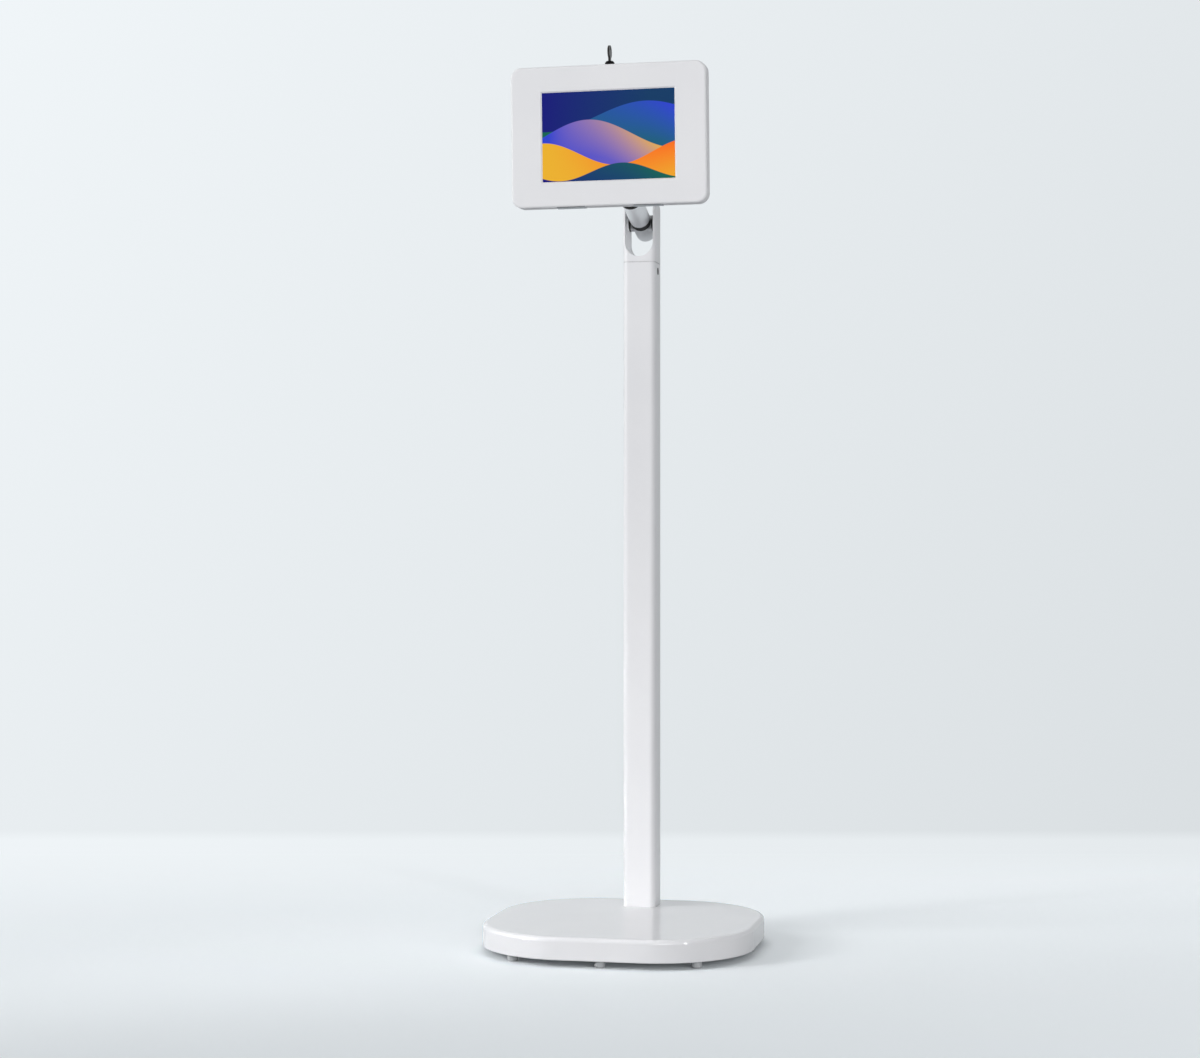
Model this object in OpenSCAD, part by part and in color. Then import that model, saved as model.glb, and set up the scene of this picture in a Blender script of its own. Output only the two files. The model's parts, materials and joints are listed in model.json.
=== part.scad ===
// Floor stand that holds a tablet in a locking enclosure.
// A weighted base carries a square column. A slotted yoke on the column holds a tilting arm,
// and the enclosure turns on the arm's hub. The front cover is hinged along its lower edge
// and locked by a key at the top.
// Millimetres. The origin is on the floor under the middle of the base.
// +Z is up, the screen faces -Y and +X is to the right of someone facing the screen.

/* [Base] */
// Width of the base cover
base_width = 362; // [300:1:420]
// Depth of the base cover
base_depth = 348; // [300:1:420]
// Corner radius of the base seen from above
base_corner = 131; // [70:1:145]
// Height of the base cover, without its feet
base_thickness = 29.5; // [26:0.5:40]
// Rounding of the upper edge
base_edge = 6; // [3:0.5:9]
// Wall of the base cover
base_wall = 3; // [2:0.25:4]
// Height of the cover's lower rim above the floor
foot_lift = 9; // [6:0.5:14]
// Thickness of the steel ballast plate
ballast_thickness = 10; // [8:0.5:12]
// Radius of a rubber foot
foot_radius = 7; // [5:0.25:9]
// Rounding of a foot's lower edge
foot_round = 2.3; // [1:0.1:2.5]
// Distance of the feet from the base outline
foot_inset = 13; // [11:0.5:20]
// Direction of the corner feet, measured from the X axis
foot_angle = 53; // [30:1:60]

/* [Column] */
// Width of the column
column_width = 45; // [42:0.5:50]
// Depth of the column
column_depth = 50; // [46:0.5:56]
// Corner radius of the column
column_corner = 8; // [5:0.5:9]
// Wall of the column tube
column_wall = 2.5; // [2:0.25:3.5]
// Distance of the column's axis from the back edge of the base
column_inset = 55.5; // [47:0.5:80]
// Height of the seam between the tube and the yoke
column_top = 928; // [700:1:1100]
// Thickness of the flange welded under the tube
flange_thickness = 8; // [6:0.5:9]

/* [Yoke] */
// Height of the groove between the tube and the yoke
seam_height = 1.2; // [0.4:0.1:1.6]
// Depth of that groove
seam_depth = 1; // [0.4:0.1:1.4]
// Thickness of each ear
ear_thickness = 3; // [2.5:0.25:4]
// Height of the slot's round floor above the seam
slot_floor = 8.5; // [8:0.5:16]
// Height of the tilt axle above the seam
axle_rise = 56.3; // [54:0.1:66]
// Radius of the tilt axle
axle_radius = 4; // [3:0.25:4.2]
// Length of the spigot inside the tube
spigot_length = 40; // [30:1:60]
// Radius of the side holes for the head screws
side_hole_radius = 4.9; // [4.2:0.1:6]
// Depth of the side holes below the seam
side_hole_drop = 10.5; // [7:0.5:14]

/* [Arm] */
// Slope of the arm towards the screen
arm_rise = 17.25; // [14:0.25:19]
// Room between the arm's barrel and each ear of the yoke
barrel_room = 5.3; // [4.6:0.1:6]
// How much slimmer than the barrel the tilting knuckle is
knuckle_step = 0.3; // [0.2:0.1:2]
// Length of the knuckle behind the axle
knuckle_tail = 34; // [26:1:38]
// Length of the arm's barrel
barrel_length = 63.9; // [58:0.1:80]
// How much slimmer than the barrel the black ring behind it is
rear_ring_step = 0.6; // [0.4:0.1:1.5]
// Width of the black ring behind the barrel
rear_ring_width = 11; // [4:0.1:12]
// How far the black ring in front of the barrel stands proud
front_ring_step = 1.3; // [0.5:0.1:3]
// Width of the black ring in front of the barrel
front_ring_width = 3.5; // [2:0.1:6]
// How much slimmer than the barrel the neck is
neck_step = 2.7; // [2:0.1:4]
// Radius of the spigots that join the knuckle, the barrel and the neck
joint_radius = 7; // [6:0.25:8]

/* [Swivel] */
// Radius of the hub
hub_radius = 30; // [28:0.5:36]
// Depth of the hub
hub_depth = 14; // [12:0.5:16]
// Radius of the pivot stud
pivot_radius = 8; // [6:0.5:9]
// Border of the mounting plate outside its screws
plate_border = 8.5; // [6:0.5:12]
// Thickness of the mounting plate
plate_thickness = 3; // [2:0.25:4]
// Spacing of the mounting screws
plate_spacing = 75; // [72:1:80]
// Distance of the arm's axis below the hub's middle
socket_drop = 24.7; // [10:0.1:28]

/* [Enclosure] */
// Width of the front cover beside the window
side_margin = 41.5; // [36:0.5:60]
// Height of the front cover above the window
edge_margin = 33.5; // [30:0.5:50]
// Depth of the enclosure
head_depth = 25; // [24:0.5:30]
// Corner radius of the enclosure
head_corner = 14; // [8:0.5:20]
// Rounding of the front and back edges
head_edge = 3; // [2.6:0.1:4]
// Sheet thickness of the tray and of the front cover
sheet = 2.2; // [1.6:0.1:2.4]
// Depth of the front cover
cover_depth = 10; // [9:0.25:10.5]
// Width of the window
window_width = 176; // [160:0.5:180]
// Height of the window
window_height = 116; // [104:0.5:120]
// Distance of the window's middle below the enclosure's middle
window_drop = 0.5; // [0:0.1:3]
// Width of the bevel round the window
window_bevel = 1.7; // [0.8:0.1:1.8]
// Distance from the column's axis to the front face
face_reach = 229.8; // [215:0.1:245]
// Forward lean of the enclosure
head_lean = 1.6; // [0:0.1:4]
// Turn of the enclosure on its hub, left side down
head_roll = 0.3; // [0:0.1:1]

/* [Hinge] */
// Distance of each hinge from the middle
hinge_offset = 51; // [40:1:80]
// Length of a hinge
hinge_length = 37; // [30:1:44]
// Radius of the hinge barrel
hinge_radius = 1.7; // [1.6:0.05:1.9]
// Radius of the hinge pin
hinge_pin_radius = 0.8; // [0.6:0.05:0.9]

/* [Tablet] */
// Width of the tablet's border beside the window
tablet_side = 9.7; // [8:0.1:14]
// Height of the tablet's border above the window
tablet_edge_border = 9.4; // [8:0.1:14]
// Thickness of the tablet
tablet_thickness = 6.3; // [5.5:0.1:7.5]
// Thickness of the tablet's front glass
glass_thickness = 0.8; // [0.6:0.1:1.2]

/* [Lock] */
// How far the dark collar round the key reaches past the lock's barrel
collar_reach = 1.7; // [1.2:0.1:2.4]
// Height of the collar
collar_height = 6; // [4:0.1:8]
// Length of the lock's barrel inside the tray
lock_length = 10; // [9:0.5:12]
// Length of the cam from the plug's axis
cam_length = 13; // [12.5:0.1:13.2]
// Height of the key above the collar
key_height = 20.6; // [18:0.1:30]
// Width of the key's bow
bow_width = 17; // [12:0.5:20]
// Thickness of the key's bow
bow_thickness = 2.6; // [2:0.1:3.2]

/* [Hidden] */

$fn = 96;
eps = 0.5;

// Colours
white_paint = [0.89, 0.9, 0.91];
satin_metal = [0.66, 0.67, 0.68];
dark_steel = [0.36, 0.37, 0.38];
black_plastic = [0.05, 0.05, 0.055];
foot_rubber = [0.55, 0.56, 0.57];
bare_steel = [0.5, 0.51, 0.52];
screen_black = [0.02, 0.02, 0.025];

// Clearances
slip_gap = 0.05;
seat_gap = 0.2;
panel_gap = 0.3;
turn_gap = 0.04;
washer_gap = 0.1;
slide_gap = 0.4;

// Place of the column, towards the back of the base
column_back = base_depth / 2 - column_inset;

// Heights in the base
plate_recess = 1;
plate_low = foot_lift + plate_recess;
plate_top = plate_low + ballast_thickness;
flange_top = plate_top + flange_thickness;
base_top = foot_lift + base_thickness;
cover_inside = base_top - base_wall;
base_low_round = 1.5;
ballast_width = base_width - 2 * base_wall - 2 * panel_gap;
ballast_depth = base_depth - 2 * base_wall - 2 * panel_gap;
ballast_corner = base_corner - base_wall - panel_gap;

// Base fasteners
foot_stem_radius = 3;
foot_stem_length = 6;
bolt_radius = 4;
bolt_head_radius = 7;
bolt_head_height = 4.4;
bolt_side = 13.5;
bolt_front = 1;
bolt_spread = [column_width / 2 + bolt_side, column_depth / 2 + bolt_front];
flange_side = 27.5;
flange_front = 14;
flange_size = [column_width + 2 * flange_side, column_depth + 2 * flange_front];
flange_corner = 8;
screw_radius = 2;
screw_head_radius = 3.7;
screw_head_height = 2.4;
boss_radius = 5.5;
boss_side_inset = 61;
boss_front_inset = 69;
boss_back_inset = 97;
boss_side = base_width / 2 - boss_side_inset;
boss_front = boss_front_inset - base_depth / 2;
boss_back = base_depth / 2 - boss_back_inset;
boss_bite = 8;
head_sink = 0.6;
column_bolt_places = [for (sx = [-1, 1], sy = [-1, 1])
    [sx * bolt_spread.x, column_back + sy * bolt_spread.y]];
cover_screw_places = [for (sx = [-1, 1], y = [boss_front, boss_back]) [sx * boss_side, y]];

// Feet along the outline: four at the middles of the sides and four at the corners
foot_arc = base_corner - foot_inset;
foot_corner_x = base_width / 2 - base_corner + foot_arc * cos(foot_angle);
foot_corner_y = base_depth / 2 - base_corner + foot_arc * sin(foot_angle);
foot_places = concat(
    [for (s = [-1, 1]) [0, s * (base_depth / 2 - foot_inset)]],
    [for (s = [-1, 1]) [s * (base_width / 2 - foot_inset), 0]],
    [for (sx = [-1, 1], sy = [-1, 1]) [sx * foot_corner_x, sy * foot_corner_y]]);

// Yoke and tilt axle
axle_z = column_top + axle_rise;
slot_half = column_width / 2 - ear_thickness;
slot_centre_z = column_top + slot_floor + slot_half;
ear_top = axle_z + column_depth / 2;
ear_corner = 18;
ear_boss_height = 2.5;
ear_boss_radius = 11;
ear_face = slot_half - ear_boss_height;
washer_thickness = 2;
cheek_half = ear_face - washer_thickness - 2 * washer_gap;
cheek_radius = 11;
cap_reach = 2.5;
cap_radius = axle_radius + cap_reach;
cap_thickness = 1.2;
spigot_wall = 3.5;
spigot_width = column_width - 2 * column_wall - 2 * seat_gap;
spigot_depth = column_depth - 2 * column_wall - 2 * seat_gap;
spigot_corner = column_corner - column_wall - seat_gap;
spigot_roof = 3;
head_screw_radius = 3;
head_screw_sink = 1.3;
head_screw_head = column_wall + seat_gap - head_screw_sink;
head_screw_z = column_top - side_hole_drop;
hex_radius = 2;
socket_share = 0.72;

// Arm, measured along its axis from the tilt axle
barrel_radius = slot_half - barrel_room;
knuckle_radius = barrel_radius - knuckle_step;
rear_ring_radius = barrel_radius - rear_ring_step;
front_ring_radius = barrel_radius + front_ring_step;
neck_radius = barrel_radius - neck_step;
ring_start = axle_radius + 0.6;
barrel_start = ring_start + rear_ring_width;
barrel_end = barrel_start + barrel_length;
neck_start = barrel_end + front_ring_width;
barrel_round = 2;
knuckle_round = 5;
spigot_reach = 15;
arm_screw_radius = 2.5;
arm_screw_inset = 8;

// Enclosure frame: x to the right, y backwards from the front face, z up
head_width = window_width + 2 * side_margin;
head_height = window_height + 2 * edge_margin;
tray_start = cover_depth + panel_gap;
tray_inside = head_depth - sheet;
lip_thickness = 1.5;
lip_start = 4.2;
lip_inset = sheet + slide_gap;
lip_width = head_width - 2 * lip_inset;
lip_height = head_height - 2 * lip_inset;
lip_corner = head_corner - lip_inset;
top_z = head_height / 2;
low_round = 0.5;

// Tablet and its cradle
tablet_width = window_width + 2 * tablet_side;
tablet_height = window_height + 2 * tablet_edge_border;
gasket_thickness = 1.5;
gasket_border = 7;
glass_y = sheet + gasket_thickness + panel_gap;
glass_inset = 1.2;
tablet_corner = 9;
tablet_edge = 2.2;
tablet_back = glass_y + tablet_thickness;
cradle_border = 3;
cradle_lip = 3;
cradle_pocket = tablet_back - cradle_lip;
cradle_rib = 14;
cradle_hole = [tablet_width / 2 - 2 * cradle_rib, tablet_height / 2 - 2 * cradle_rib];

// Swivel hub, behind the tray
plate_y = head_depth;
washer_y = plate_y + plate_thickness + washer_gap;
swivel_washer_thickness = 2;
swivel_washer_inset = 5;
swivel_washer_radius = hub_radius - swivel_washer_inset;
hub_y = washer_y + swivel_washer_thickness + washer_gap;
hub_back = hub_y + hub_depth;
nut_height = 5;
nut_reach = 3.5;
nut_radius = pivot_radius + nut_reach;
nut_pocket_gap = 1.1;
nut_pocket_radius = nut_radius + nut_pocket_gap;
nut_pocket_depth = 7;
nut_y = hub_back - nut_pocket_depth + washer_gap;
pivot_end = nut_y + nut_height + 1;
plate_size = plate_spacing + 2 * plate_border;
plate_corner = 8;
socket_wall = 4;
socket_radius = neck_radius + socket_wall;
socket_skin = 2.5;
plate_screw_radius = 2;
plate_screw_head = 4;
plate_nut_radius = 4;
plate_nut_height = 3;

// Place of the enclosure, where the arm's axis meets the hub
face_rise = (face_reach - hub_y) * tan(arm_rise) + socket_drop;
face_y = column_back - face_reach;
face_z = axle_z + face_rise;

// Length of the arm's axis from the axle until the neck's rim meets the socket's blind end
hub_slope = arm_rise + head_lean;
axle_to_face = face_reach * cos(head_lean) - face_rise * sin(head_lean);
neck_end = (axle_to_face - hub_y - socket_skin) / cos(hub_slope) - neck_radius * tan(hub_slope);
socket_depth = 24;

// Lock, in the middle of the tray's depth
tray_web = 2 * eps;
lock_room = tray_inside - tray_start - tray_web;
lock_y = tray_inside - lock_room / 2;
lock_nut_gap = 0.35;
lock_nut_flat = lock_room / 2 - lock_nut_gap;
lock_nut_radius = lock_nut_flat / cos(30);
lock_nut_wall = 0.8;
lock_nut_height = 3;
lock_radius = lock_nut_flat - lock_nut_wall;
lock_wall = 1.6;
plug_radius = lock_radius - lock_wall;
collar_radius = lock_radius + collar_reach;
collar_taper = 0.72;
collar_bevel = 2.2;
lock_low = top_z - sheet - lock_length;
plug_low = lock_low - 1.2;
cam_thickness = 2;
cam_half = plug_radius;
cam_low = plug_low - cam_thickness;
cam_neck_share = 0.53;
cam_neck = plug_radius * cam_neck_share;
cam_screw_head = plug_radius;
cam_screw_height = 1.6;
keyway_wall = 0.8;
keyway = [1.4, 2 * (plug_radius - keyway_wall)];
key_blade = [keyway.x - seat_gap, keyway.y - 2 * seat_gap];
key_insert = 8;
bow_hole = 2.2;
neck_depth = 7;
neck_gap = 0.4;
cam_bite = 2.8;
strike_x = cam_length - cam_bite;
strike_thickness = 1.4;
strike_back = tray_inside - 2 * slide_gap;
strike_top = top_z - sheet - slide_gap - lip_thickness - 1.2;
strike_low = cam_low - 4;
strike_room = 1.6;
strike_window = [lock_y - cam_length + strike_room, lock_y + cam_half + slide_gap];
strike_foot = 8;

// Hinge
hinge_y = cover_depth + panel_gap / 2;
hinge_z = -top_z - 0.2;
leaf_thickness = 1;
leaf_start = hinge_radius + 0.5;
leaf_end = 8.6;
knuckle_share = 0.27;
hinge_end_knuckle = hinge_length * knuckle_share;
hinge_mid_half = hinge_length / 2 - hinge_end_knuckle - panel_gap;
hinge_notch = hinge_radius + 0.4;
hinge_room = 0.5;

// A rectangle with round corners, centred
module rounded_rect(w, d, r) {
    square([w - 2 * r, d], center = true);
    square([w, d - 2 * r], center = true);
    for (sx = [-1, 1], sy = [-1, 1])
        translate([sx * (w / 2 - r), sy * (d / 2 - r)])
            circle(r);
}

// Half section of a slab from its core outwards, with round upper and lower edges
module edge_profile(reach, height, top_round, bottom_round) {
    translate([0, bottom_round])
        square([reach, height - top_round - bottom_round]);
    square([reach - bottom_round, height / 2]);
    translate([0, height / 2])
        square([reach - top_round, height / 2]);
    translate([reach - top_round, height - top_round])
        circle(top_round);
    translate([reach - bottom_round, bottom_round])
        circle(bottom_round);
}

// A slab with round corners and rounded edges, standing on z = 0
module rounded_slab(w, d, r, h, top_round, bottom_round) {
    translate([-(w / 2 - r), -(d / 2 - r), 0])
        cube([w - 2 * r, d - 2 * r, h]);
    for (q = [0 : 3]) {
        reach_x = (q % 2 == 0 ? w : d) / 2 - r;
        reach_y = (q % 2 == 0 ? d : w) / 2 - r;
        rotate(q * 90)
            translate([reach_x, reach_y, 0]) {
                rotate_extrude(angle = 90)
                    edge_profile(r, h, top_round, bottom_round);
                rotate([90, 0, 0])
                    linear_extrude(2 * reach_y)
                        edge_profile(r, h, top_round, bottom_round);
            }
    }
}

// A prism in the enclosure frame between two depths
module face_prism(y_front, y_back) {
    translate([0, y_back, 0])
        rotate([90, 0, 0])
            linear_extrude(y_back - y_front)
                children();
}

// A rounded slab in the enclosure frame between two depths
module face_slab(w, h, r, y_front, y_back, front_round, back_round) {
    translate([0, y_back, 0])
        rotate([90, 0, 0])
            rounded_slab(w, h, r, y_back - y_front, front_round, back_round);
}

// A round bar along y in the enclosure frame
module face_rod(radius, y_front, y_back) {
    translate([0, y_front, 0])
        rotate([-90, 0, 0])
            cylinder(r = radius, h = y_back - y_front);
}

// A round bar along x, centred on x = 0
module cross_rod(radius, half) {
    rotate([0, 90, 0])
        cylinder(r = radius, h = 2 * half, center = true);
}

// A revolved pin with rounded ends, along z
module soft_rod(radius, length, end_round) {
    rotate_extrude()
        edge_profile(radius, length, end_round, end_round);
}

// Places children in the enclosure frame
module on_head() {
    translate([0, face_y, face_z])
        rotate([head_lean, 0, 0])
            rotate([0, -head_roll, 0])
                children();
}

// Places children on the arm's hub, which the enclosure's turn leaves where it is
module on_hub() {
    translate([0, face_y, face_z])
        rotate([head_lean, 0, 0])
            children();
}

// Places children on the tilt axle, with z along the arm towards the screen
module on_arm() {
    translate([0, column_back, axle_z])
        rotate([90 - arm_rise, 0, 0])
            children();
}

// Places children at both hinges, on the hinge axis
module at_hinges() {
    for (s = [-1, 1])
        translate([s * hinge_offset, hinge_y, hinge_z])
            children();
}

module base_cover() {
    color(white_paint) {
        difference() {
            translate([0, 0, foot_lift])
                rounded_slab(base_width, base_depth, base_corner, base_thickness,
                    base_edge, base_low_round);
            translate([0, 0, foot_lift - base_wall])
                rounded_slab(base_width - 2 * base_wall, base_depth - 2 * base_wall,
                    base_corner - base_wall, base_thickness, base_edge - base_wall / 2, low_round);
            translate([0, column_back, cover_inside - eps])
                linear_extrude(base_wall + 2 * eps)
                    rounded_rect(column_width + 2 * seat_gap, column_depth + 2 * seat_gap,
                        column_corner + seat_gap);
        }
        for (p = cover_screw_places)
            translate([p.x, p.y, plate_top])
                difference() {
                    cylinder(r = boss_radius, h = cover_inside - plate_top + eps);
                    translate([0, 0, -eps])
                        cylinder(r = screw_radius + slip_gap, h = boss_bite + 2 * eps);
                }
    }
}

module ballast_plate() {
    color(bare_steel)
        difference() {
            translate([0, 0, plate_low])
                linear_extrude(ballast_thickness)
                    rounded_rect(ballast_width, ballast_depth, ballast_corner);
            for (p = column_bolt_places)
                translate([p.x, p.y, plate_low - eps]) {
                    cylinder(r = bolt_radius + seat_gap, h = ballast_thickness + 2 * eps);
                    cylinder(r = bolt_head_radius + seat_gap, h = bolt_head_height + head_sink + eps);
                }
            for (p = cover_screw_places)
                translate([p.x, p.y, plate_low - eps]) {
                    cylinder(r = screw_radius + seat_gap, h = ballast_thickness + 2 * eps);
                    cylinder(r = screw_head_radius + seat_gap, h = screw_head_height + head_sink + eps);
                }
            for (p = foot_places)
                translate([p.x, p.y, plate_low - eps])
                    cylinder(r = foot_stem_radius + slip_gap, h = foot_stem_length + 2 * eps);
        }
}

module feet() {
    color(foot_rubber)
        for (p = foot_places)
            translate([p.x, p.y, 0]) {
                rotate_extrude()
                    edge_profile(foot_radius, plate_low, low_round, foot_round);
                cylinder(r = foot_stem_radius, h = plate_low + foot_stem_length);
            }
}

// A screw driven upwards from below, its head's lower face at z = 0, with a hex socket
module rising_screw(radius, length, head_radius, head_height, socket_radius) {
    difference() {
        union() {
            cylinder(r = head_radius, h = head_height);
            cylinder(r = radius, h = head_height + length);
        }
        translate([0, 0, -eps])
            cylinder(r = socket_radius, h = head_height / 2 + eps, $fn = 6);
    }
}

module cover_screws() {
    color(dark_steel)
        for (p = cover_screw_places)
            translate([p.x, p.y, plate_low + head_sink])
                rising_screw(screw_radius, ballast_thickness - head_sink - screw_head_height + boss_bite,
                    screw_head_radius, screw_head_height, screw_radius * socket_share);
}

module column_flange() {
    color(bare_steel)
        difference() {
            translate([0, column_back, plate_top])
                linear_extrude(flange_thickness)
                    rounded_rect(flange_size.x, flange_size.y, flange_corner);
            for (p = column_bolt_places)
                translate([p.x, p.y, plate_top - eps])
                    cylinder(r = bolt_radius + slip_gap, h = flange_thickness + 2 * eps);
        }
}

module column_bolts() {
    color(dark_steel)
        for (p = column_bolt_places)
            translate([p.x, p.y, plate_low + head_sink])
                rising_screw(bolt_radius, ballast_thickness - head_sink - bolt_head_height + flange_thickness,
                    bolt_head_radius, bolt_head_height, bolt_radius * socket_share);
}

module column_tube() {
    color(white_paint)
        difference() {
            translate([0, column_back, flange_top])
                linear_extrude(column_top - flange_top)
                    difference() {
                        rounded_rect(column_width, column_depth, column_corner);
                        rounded_rect(column_width - 2 * column_wall, column_depth - 2 * column_wall,
                            column_corner - column_wall);
                    }
            translate([0, column_back, head_screw_z])
                cross_rod(side_hole_radius, column_width);
        }
}

// The column's head: a spigot for the tube, a round-bottomed slot and two thin ears
module head_yoke() {
    color(white_paint)
        difference() {
            union() {
                translate([0, column_back, column_top])
                    linear_extrude(seam_height + eps)
                        rounded_rect(column_width - 2 * seam_depth, column_depth - 2 * seam_depth,
                            column_corner - seam_depth);
                difference() {
                    intersection() {
                        translate([0, column_back, column_top + seam_height])
                            linear_extrude(ear_top - column_top - seam_height)
                                rounded_rect(column_width, column_depth, column_corner);
                        translate([-column_width, column_back, (column_top + ear_top) / 2])
                            rotate([0, 90, 0])
                                linear_extrude(2 * column_width)
                                    union() {
                                        rounded_rect(ear_top - column_top, column_depth, ear_corner);
                                        translate([0, -column_depth / 2])
                                            square([(ear_top - column_top) / 2, column_depth]);
                                    }
                    }
                    translate([0, column_back + column_depth, 0])
                        rotate([90, 0, 0])
                            linear_extrude(2 * column_depth) {
                                translate([0, slot_centre_z])
                                    circle(slot_half);
                                translate([-slot_half, slot_centre_z])
                                    square([2 * slot_half, ear_top]);
                            }
                }
                translate([0, column_back, column_top - spigot_length])
                    linear_extrude(spigot_length + eps)
                        rounded_rect(spigot_width, spigot_depth, spigot_corner);
                for (s = [-1, 1])
                    translate([s * (slot_half + ear_face + eps) / 2, column_back, axle_z])
                        cross_rod(ear_boss_radius, (ear_boss_height + eps) / 2);
            }
            translate([0, column_back, column_top - spigot_length - eps])
                linear_extrude(spigot_length - spigot_roof + eps)
                    rounded_rect(spigot_width - 2 * spigot_wall, spigot_depth - 2 * spigot_wall,
                        spigot_corner - spigot_wall / 2);
            translate([0, column_back, axle_z])
                cross_rod(axle_radius + slip_gap, column_width);
            for (s = [-1, 1])
                translate([s * column_width / 2, column_back, axle_z])
                    cross_rod(cap_radius + slip_gap, cap_thickness);
            translate([0, column_back, head_screw_z])
                cross_rod(head_screw_radius + slip_gap, column_width);
        }
}

// Two button screws that hold the spigot from both sides
module head_screws() {
    color(dark_steel)
        for (s = [0, 180])
            translate([0, column_back, head_screw_z])
                rotate([0, 90, s])
                    translate([0, 0, -column_width / 2 + head_screw_sink])
                        rising_screw(head_screw_radius, spigot_wall + seat_gap + eps,
                            side_hole_radius - seat_gap, head_screw_head, hex_radius);
}

module tilt_axle() {
    color(bare_steel)
        translate([0, column_back, axle_z])
            cross_rod(axle_radius, column_width / 2 - cap_thickness);
}

module axle_caps() {
    color(white_paint)
        for (s = [-1, 1])
            translate([s * (column_width - cap_thickness) / 2, column_back, axle_z])
                cross_rod(cap_radius, cap_thickness / 2);
}

module friction_washers() {
    color(black_plastic)
        for (s = [-1, 1])
            translate([s * (ear_face - washer_thickness / 2), column_back, axle_z])
                difference() {
                    cross_rod(cheek_radius, washer_thickness / 2);
                    cross_rod(axle_radius + slip_gap, washer_thickness);
                }
}

// The knuckle: a round bar with flat cheeks that tilts on the axle
module tilt_knuckle() {
    color(satin_metal)
        on_arm()
            difference() {
                union() {
                    translate([0, 0, -knuckle_tail])
                        rotate_extrude()
                            edge_profile(knuckle_radius, knuckle_tail + ring_start, low_round, knuckle_round);
                    cross_rod(cheek_radius, cheek_half);
                    cylinder(r = joint_radius, h = barrel_start + spigot_reach);
                }
                cross_rod(axle_radius + turn_gap, column_width);
                translate([0, 0, ring_start])
                    difference() {
                        cylinder(r = 2 * barrel_radius, h = barrel_length);
                        translate([0, 0, -eps])
                            cylinder(r = joint_radius, h = barrel_length + 2 * eps);
                    }
            }
}

// A black collar on a spigot of the arm
module arm_collar(radius, start, width) {
    on_arm()
        translate([0, 0, start])
            difference() {
                soft_rod(radius, width, low_round);
                translate([0, 0, -eps])
                    cylinder(r = joint_radius + slip_gap, h = width + 2 * eps);
            }
}

module rear_ring() {
    color(black_plastic)
        arm_collar(rear_ring_radius, ring_start, rear_ring_width);
}

module front_ring() {
    color(black_plastic)
        arm_collar(front_ring_radius, barrel_end, front_ring_width);
}

// Places children at both set screws of the barrel, pointing up
module at_arm_screws() {
    on_arm()
        for (z = [barrel_start + arm_screw_inset, barrel_end - arm_screw_inset])
            translate([0, 0, z])
                rotate([-90, 0, 0])
                    children();
}

module arm_barrel() {
    color(satin_metal)
        difference() {
            on_arm()
                translate([0, 0, barrel_start])
                    difference() {
                        soft_rod(barrel_radius, barrel_length, barrel_round);
                        translate([0, 0, -eps])
                            cylinder(r = joint_radius + slip_gap, h = barrel_length + 2 * eps);
                    }
            at_arm_screws()
                cylinder(r = arm_screw_radius + slip_gap, h = 2 * barrel_radius);
        }
}

module arm_screws() {
    color(dark_steel)
        at_arm_screws()
            translate([0, 0, joint_radius])
                difference() {
                    cylinder(r = arm_screw_radius, h = barrel_radius - joint_radius - head_sink);
                    translate([0, 0, barrel_radius - joint_radius - 2 * head_sink - hex_radius])
                        cylinder(r = hex_radius * socket_share, h = barrel_radius, $fn = 6);
                }
}

module arm_neck() {
    color(satin_metal)
        on_arm() {
            translate([0, 0, neck_start])
                cylinder(r = neck_radius, h = neck_end - neck_start);
            translate([0, 0, barrel_end - spigot_reach])
                cylinder(r = joint_radius, h = spigot_reach + front_ring_width + eps);
        }
}

// The hub: a disc behind the enclosure with a slanted socket for the neck
module arm_hub() {
    color(satin_metal)
        difference() {
            union() {
                on_hub()
                    translate([0, hub_back, 0])
                        rotate([90, 0, 0])
                            rotate_extrude()
                                edge_profile(hub_radius, hub_depth, low_round, barrel_round);
                difference() {
                    on_arm()
                        translate([0, 0, neck_end - socket_depth])
                            cylinder(r = socket_radius, h = 3 * socket_depth);
                    on_hub()
                        translate([-face_reach, -face_reach, -face_reach])
                            cube([2 * face_reach, face_reach + hub_y, 2 * face_reach]);
                }
            }
            on_hub() {
                face_rod(pivot_radius + turn_gap, 0, 2 * hub_back);
                face_rod(nut_pocket_radius, hub_back - nut_pocket_depth, 2 * hub_back);
            }
            on_arm()
                cylinder(r = neck_radius + slip_gap, h = neck_end);
        }
}

module swivel_washer() {
    color(black_plastic)
        on_hub()
            difference() {
                face_rod(swivel_washer_radius, washer_y, washer_y + swivel_washer_thickness);
                face_rod(pivot_radius + slip_gap, 0, hub_back);
            }
}

// Places children at the four mounting screws
module at_plate_screws() {
    for (sx = [-1, 1], sz = [-1, 1])
        translate([sx * plate_spacing / 2, 0, sz * plate_spacing / 2])
            children();
}

module swivel_plate() {
    color(bare_steel)
        on_head()
            difference() {
                union() {
                    face_prism(plate_y, plate_y + plate_thickness)
                        rounded_rect(plate_size, plate_size, plate_corner);
                    face_rod(pivot_radius, plate_y, pivot_end);
                }
                at_plate_screws()
                    face_rod(plate_screw_radius + seat_gap, 0, hub_back);
            }
}

module swivel_nut() {
    color(dark_steel)
        on_head()
            difference() {
                translate([0, nut_y, 0])
                    rotate([-90, 0, 0])
                        cylinder(r = nut_radius, h = nut_height, $fn = 6);
                face_rod(pivot_radius + slip_gap, 0, 2 * hub_back);
            }
}

module plate_screws() {
    color(dark_steel)
        on_head()
            at_plate_screws()
                translate([0, plate_y + plate_thickness + screw_head_height, 0])
                    rotate([90, 0, 0])
                        rising_screw(plate_screw_radius, plate_thickness + sheet + plate_nut_height,
                            plate_screw_head, screw_head_height, hex_radius * socket_share);
}

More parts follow.
